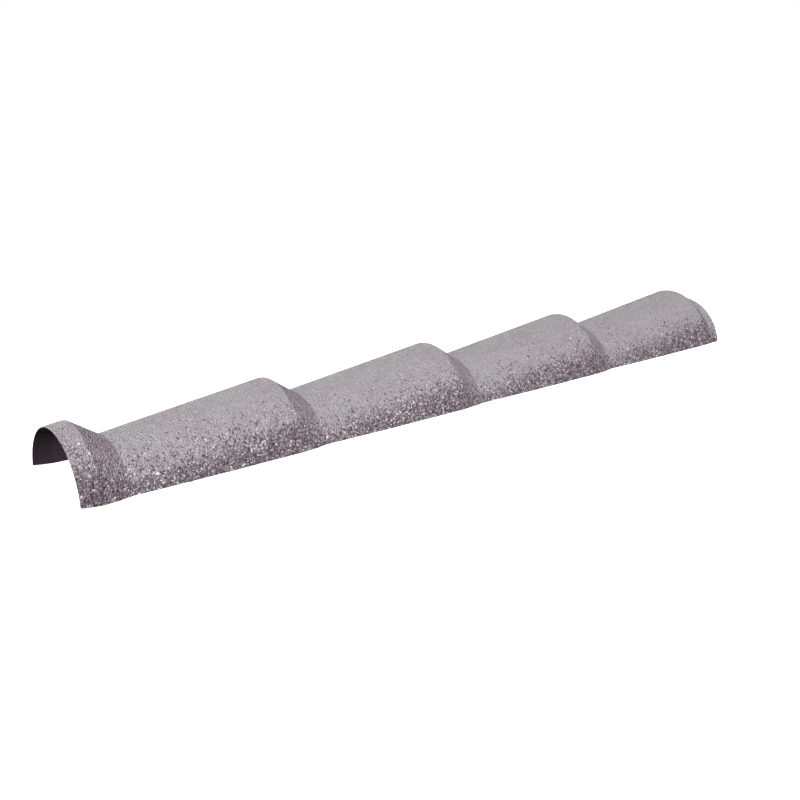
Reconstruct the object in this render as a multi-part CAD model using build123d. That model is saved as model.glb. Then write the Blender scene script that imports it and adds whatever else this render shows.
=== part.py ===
"""Roof edge trim: one pressed steel sheet, an arched section stepped like a row of lapped barrel tiles."""
import os
from math import acos, cos, pi, radians, sin, tan

from build123d import *

# Driving dimensions, in millimetres and degrees
PITCH = 305.0               # crest to crest, one imitated tile
TILE_COUNT = 4              # ramps between the first crest and the last
CREST_HEIGHT = 88.0         # foot to the sharp corner of the crown line at a crest
VALLEY_HEIGHT = 57.2        # the same at the bottom of a step
STEP_RUN = 45.0             # length over which a step falls from crest to valley
LIP_RUN = 28.5              # sheet in front of the first crest, laid over the piece before
TOE_RISE = 4.0              # the lip's feet are cut up by this much at the front end
LAP_SETBACK = 5.5           # the last crest falls short of its pitch, to go under the next piece
LAP_STEP_RUN = 23.5         # the last, shorter step
LAP_HEIGHT = 68.0           # crown height of the lap tail
LAP_TAIL_RUN = 18.5         # level sheet after the last step
CROWN_RADIUS = 85.0         # outside of the arch
LEG_LEAN = 5.0              # the legs lean out from upright by this angle
WALL = 2.0                  # steel with its stone-chip coat
CREST_BEND = 6.0            # bend radius of the crown line at a crest, outside
VALLEY_BEND = 8.0           # the same at the bottom of a step
LAP_BEND = 8.0              # the same at the start of the lap tail

# Worked out from them
last_crest = TILE_COUNT * PITCH - LAP_SETBACK
lap_start = last_crest + LAP_STEP_RUN
front_end = -LIP_RUN
back_end = lap_start + LAP_TAIL_RUN
middle = (front_end + back_end) / 2
ramp_slope = (CREST_HEIGHT - VALLEY_HEIGHT) / (PITCH - STEP_RUN)
overrun = 2 * WALL          # how far the hollow and the legs are drawn past where they are cut off

# The arch is drawn in three arcs, which meet just above the lowest foot, so that the cut along the feet
# leaves its crown whole
lean = radians(LEG_LEAN)
shoulder_angle = pi / 2 - lean
crown_share = 0.9           # the crown arc ends no nearer to the shoulder than this share of the way
haunch_angle = min(acos(1 - (VALLEY_HEIGHT - overrun) / CROWN_RADIUS), crown_share * shoulder_angle)


def crown_line(past_ends=0):
    """The stepped line along the top of the arch, from the front lip to the lap tail, seen from the side."""
    front = front_end - past_ends
    points = [(front, CREST_HEIGHT + front * ramp_slope)]
    bends = []
    for tile in range(TILE_COUNT):
        crest = tile * PITCH
        points += [(crest, CREST_HEIGHT), (crest + STEP_RUN, VALLEY_HEIGHT)]
        bends += [CREST_BEND, VALLEY_BEND]
    points += [(last_crest, CREST_HEIGHT), (lap_start, LAP_HEIGHT), (back_end + past_ends, LAP_HEIGHT)]
    bends += [CREST_BEND, LAP_BEND]
    return FilletPolyline(*[(x - middle, 0, z) for x, z in points], radius=bends)


def arch_face(radius):
    """Filled arch with its crown at the origin: a half round on leaning legs that reach below every foot."""

    def on_arc(angle):
        return (radius * sin(angle), radius * cos(angle) - radius)

    stops = [-shoulder_angle, -haunch_angle, haunch_angle, shoulder_angle]
    arcs = [
        ThreePointArc(on_arc(start), on_arc((start + end) / 2), on_arc(end))
        for start, end in zip(stops, stops[1:])
    ]
    side, shoulder = on_arc(shoulder_angle)
    foot = min(shoulder, -CREST_HEIGHT) - overrun
    spread = side + (shoulder - foot) * tan(lean)
    legs = Polyline((side, shoulder), (spread, foot), (-spread, foot), (-side, shoulder))
    return make_face(arcs + legs.edges())


def arch_body(line, radius):
    """The filled arch carried along a line without turning, so that every section stays upright."""
    across = Plane(origin=line @ 0, x_dir=(0, 1, 0), z_dir=(1, 0, 0))
    return sweep(across * arch_face(radius), path=line, normal=(1, 0, 0), clean=False)


# The hollow follows the crown line one wall further in, which keeps the sheet even on ramps, steps and bends
outside = arch_body(crown_line(), CROWN_RADIUS)
hollow_line = crown_line(overrun).offset_2d(WALL, side=Side.RIGHT, closed=False)
hollow = arch_body(hollow_line, CROWN_RADIUS - WALL)

# The feet are cut level, and under the lip they rise from the first crest to the front end
feet = Plane.XY
toes = Plane(origin=(-middle, 0, 0), x_dir=(0, 1, 0), z_dir=(TOE_RISE, 0, LIP_RUN))
roof_edge_trim = split(split(outside - hollow, bisect_by=feet), bisect_by=toes)

os.makedirs("parts", exist_ok=True)
export_step(roof_edge_trim, "parts/roof_edge_trim.step")
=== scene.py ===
"""Roof edge trim: a pressed steel sheet, primed inside, under a bonded coat of crushed stone chips."""
from math import ceil, cos, pi, radians, sin, sqrt

import bpy
import numpy as np
from mathutils import Matrix, Vector


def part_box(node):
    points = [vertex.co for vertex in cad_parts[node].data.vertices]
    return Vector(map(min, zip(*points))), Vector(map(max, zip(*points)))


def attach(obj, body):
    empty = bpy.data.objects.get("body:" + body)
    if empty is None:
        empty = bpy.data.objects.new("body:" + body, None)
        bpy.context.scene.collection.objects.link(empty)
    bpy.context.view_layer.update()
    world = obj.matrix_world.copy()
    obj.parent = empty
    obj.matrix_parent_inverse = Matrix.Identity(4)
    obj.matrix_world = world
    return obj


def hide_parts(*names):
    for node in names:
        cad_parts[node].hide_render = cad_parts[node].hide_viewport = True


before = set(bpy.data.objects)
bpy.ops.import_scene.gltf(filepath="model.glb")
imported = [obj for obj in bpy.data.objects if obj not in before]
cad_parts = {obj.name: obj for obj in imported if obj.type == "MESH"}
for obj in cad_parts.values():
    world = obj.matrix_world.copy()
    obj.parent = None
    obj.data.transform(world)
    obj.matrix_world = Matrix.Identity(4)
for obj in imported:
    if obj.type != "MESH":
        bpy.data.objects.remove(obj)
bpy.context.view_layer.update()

# Sizes of the pressed sheet, in metres and radians, the same as the solid's
NODE = "roof_edge_trim"
PITCH = 0.305               # crest to crest, one imitated tile
TILE_COUNT = 4
CREST_HEIGHT = 0.088        # foot to the sharp corner of the crown line at a crest
VALLEY_HEIGHT = 0.0572      # the same at the bottom of a step
STEP_RUN = 0.045            # length over which a step falls
LIP_RUN = 0.0285            # sheet in front of the first crest
TOE_RISE = 0.004            # the lip's feet are cut up by this much at the front end
LAP_SETBACK = 0.0055        # the last crest falls short of its pitch
LAP_STEP_RUN = 0.0235       # the last, shorter step
LAP_HEIGHT = 0.068          # crown height of the lap tail
CROWN_RADIUS = 0.085        # outside of the arch
SHOULDER = radians(85)      # the arch turns this far from the crown to each leg
WALL = 0.002                # steel with its coat
CREST_BEND = 0.006          # bend radius of the crown line at a crest
VALLEY_BEND = 0.008         # the same at the bottom of a step
LAP_BEND = 0.008            # the same at the start of the lap tail

# The steel sheet's mesh
SHEET_CUTS = 160            # cuts along the sheet, with more in its bends
BEND_CUTS = 9               # cuts in each bend
GIRTH_CUTS = 48             # cuts round the arch
CUT_DECIMALS = 5            # cuts that agree to this many decimals of a metre are one cut
SHARP_EDGE = radians(50)    # faces that meet at more than this angle have a sharp edge between them

# Sizes of the stone chips. A spread is a standard deviation, and a range is drawn from evenly
SEED = 7
COAT = 0.0008               # from the wall's outside down to the bonding coat, the depth of the chips
COAT_SECTIONS = 5           # the coat's mesh is kept in this many lengths
CHIP_SPACING = 0.0026       # middle to middle of the larger chips
SEAT_JITTER = 0.42          # how far they stray from a honeycomb, as a share of the spacing
LINE_STEPS = 4000           # points along the crown line for measuring its length
END_CLEAR = 0.0001          # chips stop this far short of the cut ends
EDGE_INSET = 0.0008         # no chip has its middle nearer than this to a cut end or a foot
FINES_SHARE = 0.35          # small chips between the larger ones, for each larger chip
FINES_SIZE = 0.7            # their size, as a share of a larger chip's
PENTAGON_SHARE = 0.4        # larger chips with five sides, and the rest have four
CHIP_RADIUS = 0.00155
CHIP_HEIGHT = 0.00055       # above the bonding coat
CHIP_SINK = 0.0002          # into the bonding coat
SIZE_SPREAD = 0.2           # of the logarithm of a chip's size
STRETCH_SPREAD = 0.14       # of the logarithm of how far a chip is stretched one way and narrowed the other
CHIP_LEAN = 0.06            # spread of the slope of a chip's top
HEIGHT_RANGE = (0.85, 1.1)  # shares of the height
FOOT_RANGE = (0.9, 1.15)    # shares of the radius, for the corners sunk in the bonding coat
TOP_RANGE = (0.7, 0.95)     # shares of the radius, for the corners of the top
CORNER_JITTER = 0.2         # how far a corner strays, as a share of the angle from one corner to the next

# The chips' tones, from 0 for dark to 1 for pale, the dust on them, and painted shade on steps and at the
# front end
MIDDLE_TONE = 0.5
TONE_SPREAD = 0.28          # how far chips differ in tone, one from the next
CLUMP_SIZE = 0.006          # chips of like tone lie together over about this length
CLUMP_SPREAD = 0.07         # how far the clumps differ in tone
STEP_LEAN = 0.5             # a chip that leans this far to the back lies on a step
STEP_EVENNESS = 0.4         # how much less the chips on a step differ in tone
FRONT_SHADE = 0.05          # painted shade: chips are darker in tone by this at the front end
FRONT_SHADE_RUN = 0.05      # the painted shade falls off over about this length
DUST_SCATTER = 0.18         # how unevenly dust stays on chips that face up alike
LIP_DUST_SHADE = 0.22             # painted shade: less dust on ramps at the front end so they show darker, as a change in how far up a chip faces
LIP_DUST_SHADE_RUN = 0.2          # the thinning of the dust grows less over about this length

# The coat's map, with a square for each chip, as shares of the square's side
COAT_MAP = "OFBake"
MAP_FOOT_RADIUS = 0.44
MAP_TOP_RADIUS = 0.26
MAP_UNDERSIDE_RADIUS = 0.06
MAP_UNDERSIDE_SHIFT = 0.41

# Values of the finishes: noise scales, colours at places along a value, and bumps in metres
GRAIN_DETAIL = 3.0
PATCH_DETAIL = 4.0
NOISE_ROUGHNESS = 0.6
DUST_AND_STEP_SHADE_COLOURS = ((0.0, (0.405, 0.380, 0.397)), (1.0, (0.394, 0.331, 0.377)))     # dust on ramps; on steps a darker, more mauve colour, which is painted shade
DUST_STARTS = 0.40          # dust starts to lie on what faces up this far, where 1 is a level top
DUST_FULL = 0.60            # and lies in full from here on
DUST_AMOUNT = 0.85
DUST_THICKNESS = (0.6, 1.2) # where the mottle is lowest and highest
DUST_DULLS = 0.3            # what full dust adds to a chip's roughness
CHIP_TONES = (
    (0.0, (0.05, 0.035, 0.045)),
    (0.5, (0.178, 0.143, 0.167)),
    (0.8, (0.37, 0.322, 0.355)),
    (1.0, (0.68, 0.64, 0.67)),
)
CHIP_CASTS = ((0.0, (1.05, 0.96, 1.02)), (0.5, (1.0, 1.0, 1.0)), (1.0, (0.97, 1.01, 1.0)))
CHIP_SPECKLE = ((0.3, (0.86, 0.86, 0.86)), (0.7, (1.14, 1.14, 1.14)))
CHIP_GRAIN = 1400.0
CHIP_PATCHES = 14.0
CHIP_ROUGHNESS = (0.45, 0.7)
CHIP_BUMP = 0.00008
BONDING_COLOURS = ((0.3, (0.125, 0.092, 0.115)), (0.7, (0.2, 0.156, 0.187)))
BONDING_GRAIN = 700.0
BONDING_PATCHES = 20.0
BONDING_ROUGHNESS = (0.5, 0.7)
BONDING_BUMP = 0.0003
PRIMER_COLOURS = ((0.3, (0.026, 0.0155, 0.023)), (0.7, (0.037, 0.0225, 0.033)))
PRIMER_GRAIN = 260.0
PRIMER_PATCHES = 40.0
PRIMER_STREAK = 14.0        # how far the noise is drawn out along the trim
PRIMER_ROUGHNESS = (0.42, 0.66)
PRIMER_BUMP = 0.00008
EDGE_COLOURS = ((0.4, (0.04, 0.028, 0.036)), (0.66, (0.12, 0.10, 0.11)))
EDGE_GRAIN = 500.0
EDGE_PATCHES = 90.0
EDGE_STREAK = 4.0           # the same on a cut edge
EDGE_BARE_METAL = (0.0, 0.4)
EDGE_ROUGHNESS = (0.4, 0.65)
EDGE_BUMP = 0.00006

# The camera, the floor and the backdrop
VIEW_AZIMUTH = radians(-37.764)
VIEW_ELEVATION = radians(20.305)
VIEW_ROLL = radians(1.0)
EYE = Vector((-1.1108, -1.3472, 0.6344))
LENS_MM = 50.4
SENSOR_MM = 36.0
FLOOR_HALF = 4.0
FLOOR_SHADE = 0.8
FLOOR_GLOW = 0.85
SKY_STRENGTH = 0.09
WHITE = (1.0, 1.0, 1.0, 1.0)

# Each light's name, direction from the trim, distance, size, and the light it throws on the trim in W/m2
LIGHTS = (
    ("key_light", (-0.58, -0.60, 0.55), 12.0, 2.4, 4.4),
    ("side_light", (-0.80, -0.50, 0.33), 5.0, 1.5, 0.2),
    ("back_light", (0.0, 0.99, 0.12), 20.0, 4.0, 1.6),
)

# Places along the trim
low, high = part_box(NODE)
front_end, back_end = low.x, high.x
first_crest = front_end + LIP_RUN
last_crest = first_crest + TILE_COUNT * PITCH - LAP_SETBACK


# The trim's surface
def crown_corners():
    """Sharp corners of the outside crown line from front to back: x, height and bend radius of each."""
    ramp_slope = (CREST_HEIGHT - VALLEY_HEIGHT) / (PITCH - STEP_RUN)
    corners = [(front_end, CREST_HEIGHT - LIP_RUN * ramp_slope, 0)]
    for tile in range(TILE_COUNT):
        crest = first_crest + tile * PITCH
        corners.append((crest, CREST_HEIGHT, CREST_BEND))
        corners.append((crest + STEP_RUN, VALLEY_HEIGHT, VALLEY_BEND))
    corners.append((last_crest, CREST_HEIGHT, CREST_BEND))
    corners.append((last_crest + LAP_STEP_RUN, LAP_HEIGHT, LAP_BEND))
    corners.append((back_end, LAP_HEIGHT, 0))
    return np.array(corners)


def crown_bends():
    """Each bend of the crown line: its centre, radius, side, and the line's angle before and after it."""
    bends = []
    for (x, height, radius), before, after in zip(corners[1:-1], run_angles, run_angles[1:]):
        side = 1 if after > before else -1
        reach = side * radius / cos((after - before) / 2)
        middle = (before + after) / 2
        bends.append((x - reach * sin(middle), height + reach * cos(middle), radius, side, before, after))
    return bends


corners = crown_corners()
run_slopes = np.diff(corners[:, 1]) / np.diff(corners[:, 0])
run_angles = np.arctan(run_slopes)
bends = crown_bends()


def crown(x, depth):
    """Height and slope, at each x, of the crown line that lies this deep under the outside."""
    turns = [cx + side * (r + side * depth) * sin((a + b) / 2) for cx, _, r, side, a, b in bends]
    run = np.searchsorted(turns, x)
    slope = run_slopes[run]
    height = corners[run, 1] + slope * (x - corners[run, 0]) - depth / np.cos(run_angles[run])
    for centre_x, centre_z, radius, side, before, after in bends:
        radius += side * depth
        across = x - centre_x
        on_bend = (across > side * radius * sin(before)) & (across < side * radius * sin(after))
        rise = np.sqrt(radius**2 - across[on_bend] ** 2)
        height[on_bend] = centre_z - side * rise
        slope[on_bend] = side * across[on_bend] / rise
    return height, slope


def foot_height(x):
    """Level of the feet: the floor, rising under the lip."""
    return TOE_RISE * np.maximum(first_crest - x, 0) / LIP_RUN


def foot_girth(x, depth):
    """Distance round the arch from the crown to the foot."""
    radius = CROWN_RADIUS - depth
    fall = crown(x, depth)[0] - foot_height(x)
    arc_fall = radius * (1 - cos(SHOULDER))
    lean = np.arccos(1 - np.minimum(fall, arc_fall) / radius)
    return radius * lean + np.maximum(fall - arc_fall, 0) / sin(SHOULDER)


def skin(x, girth, depth):
    """Points of the surface this deep under the outside, and its outward normals."""
    radius = CROWN_RADIUS - depth
    height, slope = crown(x, depth)
    lean = np.clip(girth / radius, -SHOULDER, SHOULDER)
    leg = girth - lean * radius
    across = radius * np.sin(lean) + leg * cos(SHOULDER)
    drop = radius * (1 - np.cos(lean)) + np.abs(leg) * sin(SHOULDER)
    points = np.stack([x, across, height - drop], -1)
    normals = np.stack([-slope * np.cos(lean), np.sin(lean), np.cos(lean)], -1)
    return points, normals / np.linalg.norm(normals, axis=-1, keepdims=True)


def mesh_piece(name, points, face_corners, face_sizes):
    """A mesh object from its points, the corners of its faces one after another, and the faces' sizes."""
    mesh = bpy.data.meshes.new(name)
    mesh.vertices.add(len(points))
    mesh.vertices.foreach_set("co", points.astype(np.float32).ravel())
    mesh.loops.add(len(face_corners))
    mesh.loops.foreach_set("vertex_index", face_corners.astype(np.int32))
    mesh.polygons.add(len(face_sizes))
    mesh.polygons.foreach_set("loop_start", (np.cumsum(face_sizes) - face_sizes).astype(np.int32))
    mesh.update(calc_edges=True)
    mesh.validate()
    piece = bpy.data.objects.new(name, mesh)
    bpy.context.scene.collection.objects.link(piece)
    return piece


# The steel sheet
def sheet_stations():
    """Where the sheet is cut along its length: evenly, and more often in the bends."""
    cuts = [np.linspace(front_end, back_end, SHEET_CUTS)]
    for centre_x, _, radius, side, before, after in bends:
        reach = side * (radius + side * COAT)
        cuts.append(centre_x + reach * np.sin(np.linspace(before, after, BEND_CUTS)))
    return np.unique(np.concatenate(cuts).round(CUT_DECIMALS))


def steel_sheet():
    """The sheet from its bonding coat to its primed inside, closed round its cut edges."""
    stations = sheet_stations()
    shares = np.linspace(-1, 1, GIRTH_CUTS + 1)
    x = np.repeat(stations[:, None], len(shares), axis=1)
    surfaces = [skin(x, shares * foot_girth(x, depth), depth)[0] for depth in (COAT, WALL)]
    points = np.concatenate([surface.reshape(-1, 3) for surface in surfaces])
    outer, inner = np.arange(2 * x.size).reshape(2, *x.shape)

    def strip(a, b, c, d):
        return np.stack([a, b, c, d], -1).reshape(-1, 4)

    coat, primer, edge = range(3)
    strips = [
        (coat, strip(outer[:-1, :-1], outer[1:, :-1], outer[1:, 1:], outer[:-1, 1:])),
        (primer, strip(inner[:-1, :-1], inner[:-1, 1:], inner[1:, 1:], inner[1:, :-1])),
        (edge, strip(outer[:-1, 0], inner[:-1, 0], inner[1:, 0], outer[1:, 0])),
        (edge, strip(outer[:-1, -1], outer[1:, -1], inner[1:, -1], inner[:-1, -1])),
        (edge, strip(outer[0, :-1], outer[0, 1:], inner[0, 1:], inner[0, :-1])),
        (edge, strip(outer[-1, :-1], inner[-1, :-1], inner[-1, 1:], outer[-1, 1:])),
    ]
    quads = np.concatenate([faces for _, faces in strips])
    finishes = np.concatenate([np.full(len(faces), finish) for finish, faces in strips])
    piece = mesh_piece("steel_sheet", points, quads.ravel(), np.full(len(quads), 4))
    for material in (bonding_coat(), inside_primer(), cut_edge()):
        piece.data.materials.append(material)
    piece.data.polygons.foreach_set("material_index", finishes.astype(np.int32))
    piece.data.shade_smooth()
    piece.data.set_sharp_from_angle(angle=SHARP_EDGE)
    return piece


# The stone chips
def chip_seats(rng):
    """Where chips sit on the bonding coat: larger ones off a honeycomb, and small ones anywhere between."""
    fine_x = np.linspace(front_end, back_end, LINE_STEPS)
    line_steps = np.hypot(np.diff(fine_x), np.diff(crown(fine_x, COAT)[0]))
    line_length = np.concatenate([[0], np.cumsum(line_steps)])
    most_girth = foot_girth(fine_x, COAT).max()
    rows = np.arange(0, line_length[-1], CHIP_SPACING * sqrt(3) / 2)
    half_count = ceil(most_girth / CHIP_SPACING)
    places = np.arange(-half_count, half_count + 1)
    shift = 0.5 * (np.arange(len(rows)) % 2)
    along = np.repeat(rows[:, None], len(places), axis=1)
    girth = CHIP_SPACING * (places[None, :] + shift[:, None])
    jitter = SEAT_JITTER * CHIP_SPACING
    along = (along + rng.uniform(-jitter, jitter, along.shape)).ravel()
    girth = (girth + rng.uniform(-jitter, jitter, girth.shape)).ravel()
    fines = int(FINES_SHARE * len(along))
    along = np.concatenate([along, rng.uniform(0, line_length[-1], fines)])
    girth = np.concatenate([girth, rng.uniform(-most_girth, most_girth, fines)])
    small = np.arange(len(along)) >= len(along) - fines
    x = np.interp(along, line_length, fine_x)
    on_sheet = np.abs(girth) < foot_girth(x, COAT)
    x = np.clip(x[on_sheet], front_end + EDGE_INSET, back_end - EDGE_INSET)
    reach = foot_girth(x, COAT) - EDGE_INSET
    return x, np.clip(girth[on_sheet], -reach, reach), small[on_sheet]


def clumps(x, girth, rng):
    """Change in tone of chips that lie together, smooth from one clump to the next."""
    along = (x - front_end) / CLUMP_SIZE
    round_arch = (girth - girth.min()) / CLUMP_SIZE
    tones = rng.normal(0, CLUMP_SPREAD, (int(along.max()) + 2, int(round_arch.max()) + 2))
    row, column = along.astype(int), round_arch.astype(int)
    down, over = along - row, round_arch - column
    near = tones[row, column] * (1 - over) + tones[row, column + 1] * over
    far = tones[row + 1, column] * (1 - over) + tones[row + 1, column + 1] * over
    return near * (1 - down) + far * down


def chip_looks(x, girth, normals, rng):
    """What each chip tells its finish: its tone, its tint, how far up it faces, and how far it lies on a
    step. The darker tone and thinner dust towards the front end, and the darker dust on steps, are painted
    shade.
    """
    # How far a chip lies on a step, where its dust takes a darker, more mauve colour as painted shade
    shaded_step = np.clip(normals[:, 0] / STEP_LEAN, 0, 1)
    tone = TONE_SPREAD * rng.normal(0, 1, len(x)) + clumps(x, girth, rng)
    tone = MIDDLE_TONE + tone * (1 - STEP_EVENNESS * shaded_step)
    # Painted shade: chips darker in tone towards the front end
    tone = np.clip(tone - FRONT_SHADE * np.exp((front_end - x) / FRONT_SHADE_RUN), 0, 1)
    tint = rng.random(len(x))
    upward = normals[:, 2] + rng.normal(0, DUST_SCATTER, len(x))
    # Painted shade: less dust on ramps towards the front end, so the lip shows darker
    upward -= LIP_DUST_SHADE * np.exp((front_end - x) / LIP_DUST_SHADE_RUN) * (1 - shaded_step)
    return {"chip_tone": tone, "chip_tint": tint, "chip_up": upward, "chip_shaded_step": shaded_step}


def chip_rings(seats, normals, size, sides, rng):
    """Corners of chips with this many sides: a ring sunk in the bonding coat, and a turned one on top."""
    count = len(seats)
    ring = (count, sides)
    across = np.cross(normals, (1.0, 0.0, 0.0))
    across /= np.linalg.norm(across, axis=1, keepdims=True)
    along = np.cross(across, normals)
    turn = rng.uniform(0, 2 * pi, (count, 1))
    stretch = np.exp(rng.normal(0, STRETCH_SPREAD, (count, 1)))
    lean = rng.normal(0, CHIP_LEAN, (2, count, 1))
    tall = CHIP_HEIGHT * np.sqrt(size[:, None]) * rng.uniform(*HEIGHT_RANGE, (count, 1))
    shares = [rng.uniform(*share_range, ring) for share_range in (FOOT_RANGE, TOP_RANGE)]
    rings = []
    for level, share in enumerate(shares):
        corner = np.arange(sides) + 0.5 * level + rng.uniform(-CORNER_JITTER, CORNER_JITTER, ring)
        angle = turn + 2 * pi / sides * corner
        reach = CHIP_RADIUS * size[:, None] * share
        forward = reach * np.cos(angle) * stretch
        sideways = reach * np.sin(angle) / stretch
        height = tall + lean[0] * forward + lean[1] * sideways if level else np.full(ring, -CHIP_SINK)
        rings.append(
            seats[:, None]
            + forward[..., None] * along[:, None]
            + sideways[..., None] * across[:, None]
            + height[..., None] * normals[:, None]
        )
    points = np.concatenate(rings, axis=1)
    points[..., 0] = np.clip(points[..., 0], front_end + END_CLEAR, back_end - END_CLEAR)
    points[..., 2] = np.maximum(points[..., 2], foot_height(points[..., 0]))
    return points


def chip_faces(sides):
    """The faces of one chip as corner numbers, lower ring first: its slopes, its top and its underside."""
    slopes = []
    for corner in range(sides):
        following = (corner + 1) % sides
        slopes.append([corner, following, sides + corner])
        slopes.append([sides + corner, following, sides + following])
    top = list(range(sides, 2 * sides))
    underside = list(range(sides))[::-1]
    return slopes + [top, underside]


def chip_chart(sides):
    """Where each face corner lies in a chip's square of the map: seen from above, the underside beside it."""
    turns = 2 * pi / sides * np.arange(sides)

    def ring(radius, turn):
        return 0.5 + radius * np.stack([np.cos(turns + turn), np.sin(turns + turn)], -1)

    from_above = np.concatenate([ring(MAP_FOOT_RADIUS, 0.0), ring(MAP_TOP_RADIUS, pi / sides)])
    from_below = ring(MAP_UNDERSIDE_RADIUS, 0.0) + MAP_UNDERSIDE_SHIFT
    *seen, underside = chip_faces(sides)
    return np.concatenate([from_above[np.concatenate(seen)], from_below[underside]])


def join_chips(name, groups):
    """One mesh from groups of chips, each with its number of sides, its chips' corners and their looks."""
    points, face_corners, face_sizes, places = [], [], [], []
    squares = ceil(sqrt(sum(len(rings) for _, rings, _ in groups)))
    first_point = 0
    first_chip = 0
    for sides, rings, _ in groups:
        count = len(rings)
        faces = chip_faces(sides)
        starts = first_point + 2 * sides * np.arange(count)
        points.append(rings.reshape(-1, 3))
        face_corners.append((starts[:, None] + np.concatenate(faces)).ravel())
        face_sizes.append(np.tile([len(face) for face in faces], count))
        square = first_chip + np.arange(count)
        origin = np.stack([square % squares, square // squares], -1)
        places.append(((origin[:, None] + chip_chart(sides)) / squares).reshape(-1, 2))
        first_point += 2 * sides * count
        first_chip += count
    piece = mesh_piece(name, np.concatenate(points), np.concatenate(face_corners), np.concatenate(face_sizes))
    for look in groups[0][2]:
        values = [np.repeat(looks[look], 2 * sides) for sides, _, looks in groups]
        attribute = piece.data.attributes.new(look, "FLOAT", "POINT")
        attribute.data.foreach_set("value", np.concatenate(values).astype(np.float32))
    chart = piece.data.uv_layers.new(name=COAT_MAP)
    chart.uv.foreach_set("vector", np.concatenate(places).astype(np.float32).ravel())
    return piece


def stone_coat():
    """The coat's chips, joined into one mesh for each length of the trim."""
    rng = np.random.default_rng(SEED)
    x, girth, small = chip_seats(rng)
    seats, normals = skin(x, girth, COAT)
    size = np.exp(rng.normal(0, SIZE_SPREAD, len(x))) * np.where(small, FINES_SIZE, 1.0)
    five_sided = rng.random(len(x)) < PENTAGON_SHARE
    sides = np.where(small, 3, np.where(five_sided, 5, 4))
    looks = chip_looks(x, girth, normals, rng)
    section = ((x - front_end) / (back_end - front_end) * COAT_SECTIONS).astype(int)
    finish = stone_chips()
    pieces = []
    for number in range(COAT_SECTIONS):
        groups = []
        for side_count in (3, 4, 5):
            chosen = np.flatnonzero((section == number) & (sides == side_count))
            rings = chip_rings(seats[chosen], normals[chosen], size[chosen], side_count, rng)
            groups.append((side_count, rings, {look: values[chosen] for look, values in looks.items()}))
        piece = join_chips(f"stone_coat_{number + 1}", groups)
        piece.data.materials.append(finish)
        pieces.append(piece)
    return pieces


# Finishes
def new_finish(name):
    """A material with its nodes, its links and its surface shader."""
    material = bpy.data.materials.new(name)
    material.use_nodes = True
    tree = material.node_tree
    return material, tree.nodes, tree.links, tree.nodes["Principled BSDF"]


def effect(name, inputs, outputs):
    """An empty node group with these inputs and outputs, all single numbers."""
    group = bpy.data.node_groups.new(name, "ShaderNodeTree")
    for label, value in inputs.items():
        socket = group.interface.new_socket(label, in_out="INPUT", socket_type="NodeSocketFloat")
        socket.default_value = value
    for label in outputs:
        group.interface.new_socket(label, in_out="OUTPUT", socket_type="NodeSocketFloat")
    return group, group.nodes.new("NodeGroupInput").outputs, group.nodes.new("NodeGroupOutput").inputs


def mottle_effect():
    """Uneven grain of stone and matt paint, with broader patches, drawn out along the trim where asked."""
    group, given, out = effect(
        "mottle",
        {"Grain Scale": CHIP_GRAIN, "Patch Scale": CHIP_PATCHES, "Lengthwise Stretch": 1.0},
        ("Grain", "Patches"),
    )
    nodes, links = group.nodes, group.links
    place = nodes.new("ShaderNodeTexCoord")
    squeeze = nodes.new("ShaderNodeMath")
    squeeze.operation = "DIVIDE"
    squeeze.inputs[0].default_value = 1.0
    links.new(given["Lengthwise Stretch"], squeeze.inputs[1])
    scale = nodes.new("ShaderNodeCombineXYZ")
    scale.inputs["Y"].default_value = 1.0
    scale.inputs["Z"].default_value = 1.0
    links.new(squeeze.outputs["Value"], scale.inputs["X"])
    drawn_out = nodes.new("ShaderNodeVectorMath")
    drawn_out.operation = "MULTIPLY"
    links.new(place.outputs["Object"], drawn_out.inputs[0])
    links.new(scale.outputs["Vector"], drawn_out.inputs[1])
    for label, size, detail in (
        ("Grain", "Grain Scale", GRAIN_DETAIL),
        ("Patches", "Patch Scale", PATCH_DETAIL),
    ):
        noise = nodes.new("ShaderNodeTexNoise")
        noise.inputs["Detail"].default_value = detail
        noise.inputs["Roughness"].default_value = NOISE_ROUGHNESS
        links.new(drawn_out.outputs["Vector"], noise.inputs["Vector"])
        links.new(given[size], noise.inputs["Scale"])
        links.new(noise.outputs["Fac"], out[label])
    return group


def stone_dust_effect():
    """Fine stone dust that lies on what faces up, thinner where the mottle is low."""
    group, given, out = effect("stone_dust", {"Upward": 1.0, "Amount": DUST_AMOUNT, "Mottle": 0.5}, ("Mask",))
    nodes, links = group.nodes, group.links
    lying = nodes.new("ShaderNodeMapRange")
    lying.interpolation_type = "SMOOTHSTEP"
    lying.inputs["From Min"].default_value = DUST_STARTS
    lying.inputs["From Max"].default_value = DUST_FULL
    links.new(given["Upward"], lying.inputs["Value"])
    links.new(given["Amount"], lying.inputs["To Max"])
    thickness = value_range(nodes, links, given["Mottle"], DUST_THICKNESS)
    broken = nodes.new("ShaderNodeMath")
    broken.operation = "MULTIPLY"
    links.new(lying.outputs["Result"], broken.inputs[0])
    links.new(thickness, broken.inputs[1])
    links.new(broken.outputs["Value"], out["Mask"])
    return group


def upward_facing(nodes, links):
    """How far up the surface faces, 1 for a level top."""
    surface = nodes.new("ShaderNodeNewGeometry")
    parts = nodes.new("ShaderNodeSeparateXYZ")
    links.new(surface.outputs["Normal"], parts.inputs["Vector"])
    return parts.outputs["Z"]


def attribute_value(nodes, name):
    """A value that each chip carries."""
    attribute = nodes.new("ShaderNodeAttribute")
    attribute.attribute_name = name
    return attribute.outputs["Fac"]


def place_effect(nodes, group, **values):
    """Puts an effect into a finish with its own values, named with underscores for spaces."""
    node = nodes.new("ShaderNodeGroup")
    node.node_tree = group
    for label, value in values.items():
        node.inputs[label.replace("_", " ")].default_value = value
    return node


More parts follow.
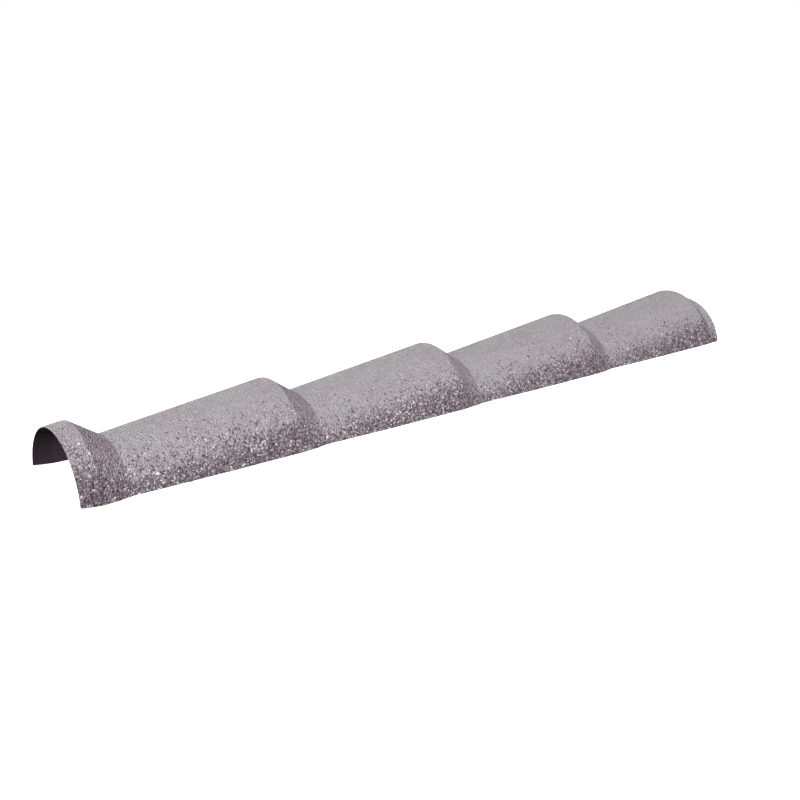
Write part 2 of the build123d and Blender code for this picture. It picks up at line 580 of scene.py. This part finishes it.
def colour_ramp(nodes, links, value, stops):
    """Colours along a value, as (place, (red, green, blue)) stops."""
    ramp = nodes.new("ShaderNodeValToRGB")
    elements = ramp.color_ramp.elements
    while len(elements) < len(stops):
        elements.new(1.0)
    for element, (place, colour) in zip(elements, stops):
        element.position = place
        element.color = (*colour, 1)
    links.new(value, ramp.inputs["Fac"])
    return ramp.outputs["Color"]


def colour_mix(nodes, links, blend, share, under, over):
    """Two colours mixed. The share is a number or a value's output, and over is a colour or its output."""
    mix = nodes.new("ShaderNodeMix")
    mix.data_type = "RGBA"
    mix.blend_type = blend
    share_in, under_in, over_in = mix.inputs[0], mix.inputs[6], mix.inputs[7]
    links.new(under, under_in)
    if isinstance(share, float):
        share_in.default_value = share
    else:
        links.new(share, share_in)
    if isinstance(over, tuple):
        over_in.default_value = (*over, 1)
    else:
        links.new(over, over_in)
    return mix.outputs[2]


def value_range(nodes, links, value, ends):
    """A value between 0 and 1 brought to between these ends."""
    least, most = ends
    spread = nodes.new("ShaderNodeMapRange")
    spread.inputs["To Min"].default_value = least
    spread.inputs["To Max"].default_value = most
    links.new(value, spread.inputs["Value"])
    return spread.outputs["Result"]


def raise_grain(nodes, links, shader, height, depth):
    """Bump of this depth, in metres, on a finish."""
    bump = nodes.new("ShaderNodeBump")
    bump.inputs["Strength"].default_value = 1.0
    bump.inputs["Distance"].default_value = depth
    links.new(height, bump.inputs["Height"])
    links.new(bump.outputs["Normal"], shader.inputs["Normal"])


def stone_chips():
    """Crushed stone, each chip in its own tone from dark plum to pale lilac grey, with dust on top that is
    darker and more mauve on steps as painted shade.
    """
    material, nodes, links, shader = new_finish("stone_chips")
    tone = attribute_value(nodes, "chip_tone")
    tint = attribute_value(nodes, "chip_tint")
    stone = colour_ramp(nodes, links, tone, CHIP_TONES)
    cast = colour_ramp(nodes, links, tint, CHIP_CASTS)
    stone = colour_mix(nodes, links, "MULTIPLY", 1.0, stone, cast)
    grain = place_effect(nodes, mottle, Grain_Scale=CHIP_GRAIN, Patch_Scale=CHIP_PATCHES)
    speckle = colour_ramp(nodes, links, grain.outputs["Grain"], CHIP_SPECKLE)
    stone = colour_mix(nodes, links, "MULTIPLY", 1.0, stone, speckle)
    dust = place_effect(nodes, stone_dust, Amount=DUST_AMOUNT)
    links.new(attribute_value(nodes, "chip_up"), dust.inputs["Upward"])
    links.new(grain.outputs["Patches"], dust.inputs["Mottle"])
    # Dust colour; the darker, more mauve colour on steps is painted shade
    dust_and_step_shade = colour_ramp(nodes, links, attribute_value(nodes, "chip_shaded_step"), DUST_AND_STEP_SHADE_COLOURS)
    stone = colour_mix(nodes, links, "MIX", dust.outputs["Mask"], stone, dust_and_step_shade)
    links.new(stone, shader.inputs["Base Color"])
    dulled = nodes.new("ShaderNodeMath")
    dulled.operation = "MULTIPLY_ADD"
    dulled.inputs[1].default_value = DUST_DULLS
    links.new(dust.outputs["Mask"], dulled.inputs[0])
    links.new(value_range(nodes, links, tint, CHIP_ROUGHNESS), dulled.inputs[2])
    links.new(dulled.outputs["Value"], shader.inputs["Roughness"])
    raise_grain(nodes, links, shader, grain.outputs["Grain"], CHIP_BUMP)
    return material


def bonding_coat():
    """The plum coat that holds the chips and shows between them."""
    material, nodes, links, shader = new_finish("bonding_coat")
    grain = place_effect(nodes, mottle, Grain_Scale=BONDING_GRAIN, Patch_Scale=BONDING_PATCHES)
    coat = colour_ramp(nodes, links, grain.outputs["Grain"], BONDING_COLOURS)
    dust = place_effect(nodes, stone_dust, Amount=DUST_AMOUNT)
    links.new(upward_facing(nodes, links), dust.inputs["Upward"])
    links.new(grain.outputs["Patches"], dust.inputs["Mottle"])
    ramp_dust = DUST_AND_STEP_SHADE_COLOURS[0][1]
    coat = colour_mix(nodes, links, "MIX", dust.outputs["Mask"], coat, ramp_dust)
    links.new(coat, shader.inputs["Base Color"])
    roughness = value_range(nodes, links, grain.outputs["Patches"], BONDING_ROUGHNESS)
    links.new(roughness, shader.inputs["Roughness"])
    raise_grain(nodes, links, shader, grain.outputs["Grain"], BONDING_BUMP)
    return material


def inside_primer():
    """Dark plum primer rolled on the back of the sheet, in faint streaks along it."""
    material, nodes, links, shader = new_finish("inside_primer")
    rolled = place_effect(
        nodes,
        mottle,
        Grain_Scale=PRIMER_GRAIN,
        Patch_Scale=PRIMER_PATCHES,
        Lengthwise_Stretch=PRIMER_STREAK,
    )
    paint = colour_ramp(nodes, links, rolled.outputs["Patches"], PRIMER_COLOURS)
    links.new(paint, shader.inputs["Base Color"])
    roughness = value_range(nodes, links, rolled.outputs["Patches"], PRIMER_ROUGHNESS)
    links.new(roughness, shader.inputs["Roughness"])
    raise_grain(nodes, links, shader, rolled.outputs["Grain"], PRIMER_BUMP)
    return material


def cut_edge():
    """The sheared edge of the sheet: dark zinc with primer smeared over it."""
    material, nodes, links, shader = new_finish("cut_edge")
    smear = place_effect(
        nodes,
        mottle,
        Grain_Scale=EDGE_GRAIN,
        Patch_Scale=EDGE_PATCHES,
        Lengthwise_Stretch=EDGE_STREAK,
    )
    links.new(colour_ramp(nodes, links, smear.outputs["Patches"], EDGE_COLOURS), shader.inputs["Base Color"])
    bare = value_range(nodes, links, smear.outputs["Patches"], EDGE_BARE_METAL)
    links.new(bare, shader.inputs["Metallic"])
    roughness = value_range(nodes, links, smear.outputs["Grain"], EDGE_ROUGHNESS)
    links.new(roughness, shader.inputs["Roughness"])
    raise_grain(nodes, links, shader, smear.outputs["Grain"], EDGE_BUMP)
    return material


mottle = mottle_effect()
stone_dust = stone_dust_effect()


# Studio
def soft_light(name, direction, distance, size, strength):
    """A round soft light that faces the trim."""
    towards = Vector(direction)
    lamp = bpy.data.lights.new(name, "AREA")
    lamp.shape = "DISK"
    lamp.size = size
    lamp.energy = strength * pi * distance**2
    light = bpy.data.objects.new(name, lamp)
    light.location = towards.normalized() * distance
    light.rotation_euler = towards.to_track_quat("Z", "Y").to_euler()
    bpy.context.scene.collection.objects.link(light)


def floor_table():
    """A pale light table. Its own glow keeps shadows soft, and it throws no light back up."""
    half = FLOOR_HALF
    ring = np.array([(-half, -half, 0), (half, -half, 0), (half, half, 0), (-half, half, 0)])
    floor = mesh_piece("floor", ring, np.arange(4), np.array([4]))
    material, _, _, shader = new_finish("pale_floor")
    shader.inputs["Base Color"].default_value = (FLOOR_SHADE, FLOOR_SHADE, FLOOR_SHADE, 1)
    shader.inputs["Roughness"].default_value = 1.0
    shader.inputs["Specular IOR Level"].default_value = 0.0
    shader.inputs["Emission Color"].default_value = WHITE
    shader.inputs["Emission Strength"].default_value = FLOOR_GLOW
    floor.data.materials.append(material)
    floor.visible_diffuse = False
    floor.visible_glossy = False


def white_backdrop():
    """White to the camera, and a faint even light to the trim."""
    world = bpy.data.worlds.new("studio")
    bpy.context.scene.world = world
    world.use_nodes = True
    nodes, links = world.node_tree.nodes, world.node_tree.links
    sky, backdrop = nodes["Background"], nodes.new("ShaderNodeBackground")
    sky.inputs["Color"].default_value = WHITE
    sky.inputs["Strength"].default_value = SKY_STRENGTH
    backdrop.inputs["Color"].default_value = WHITE
    ray = nodes.new("ShaderNodeLightPath")
    seen = nodes.new("ShaderNodeMixShader")
    links.new(ray.outputs["Is Camera Ray"], seen.inputs["Fac"])
    links.new(sky.outputs["Background"], seen.inputs[1])
    links.new(backdrop.outputs["Background"], seen.inputs[2])
    links.new(seen.outputs["Shader"], nodes["World Output"].inputs["Surface"])


def photo_camera():
    """The camera where the photograph was taken."""
    lens = bpy.data.cameras.new("camera")
    lens.lens = LENS_MM
    lens.sensor_width = SENSOR_MM
    camera = bpy.data.objects.new("camera", lens)
    right = Vector((cos(VIEW_AZIMUTH), sin(VIEW_AZIMUTH), 0))
    back = Vector((0, 0, sin(VIEW_ELEVATION)))
    back.x = sin(VIEW_AZIMUTH) * cos(VIEW_ELEVATION)
    back.y = -cos(VIEW_AZIMUTH) * cos(VIEW_ELEVATION)
    axes = Matrix((right, back.cross(right), back)).transposed()
    turned = axes @ Matrix.Rotation(VIEW_ROLL, 3, "Z")
    camera.matrix_world = Matrix.Translation(EYE) @ turned.to_4x4()
    bpy.context.scene.collection.objects.link(camera)
    bpy.context.scene.camera = camera


def studio():
    """Floor, backdrop, camera and lights: from the front left, low into the open end, and from behind."""
    bpy.context.scene.view_settings.view_transform = "Standard"
    floor_table()
    white_backdrop()
    for light in LIGHTS:
        soft_light(*light)
    photo_camera()


sheet = steel_sheet()
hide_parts(NODE)
for piece in [sheet, *stone_coat()]:
    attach(piece, "root")
studio()
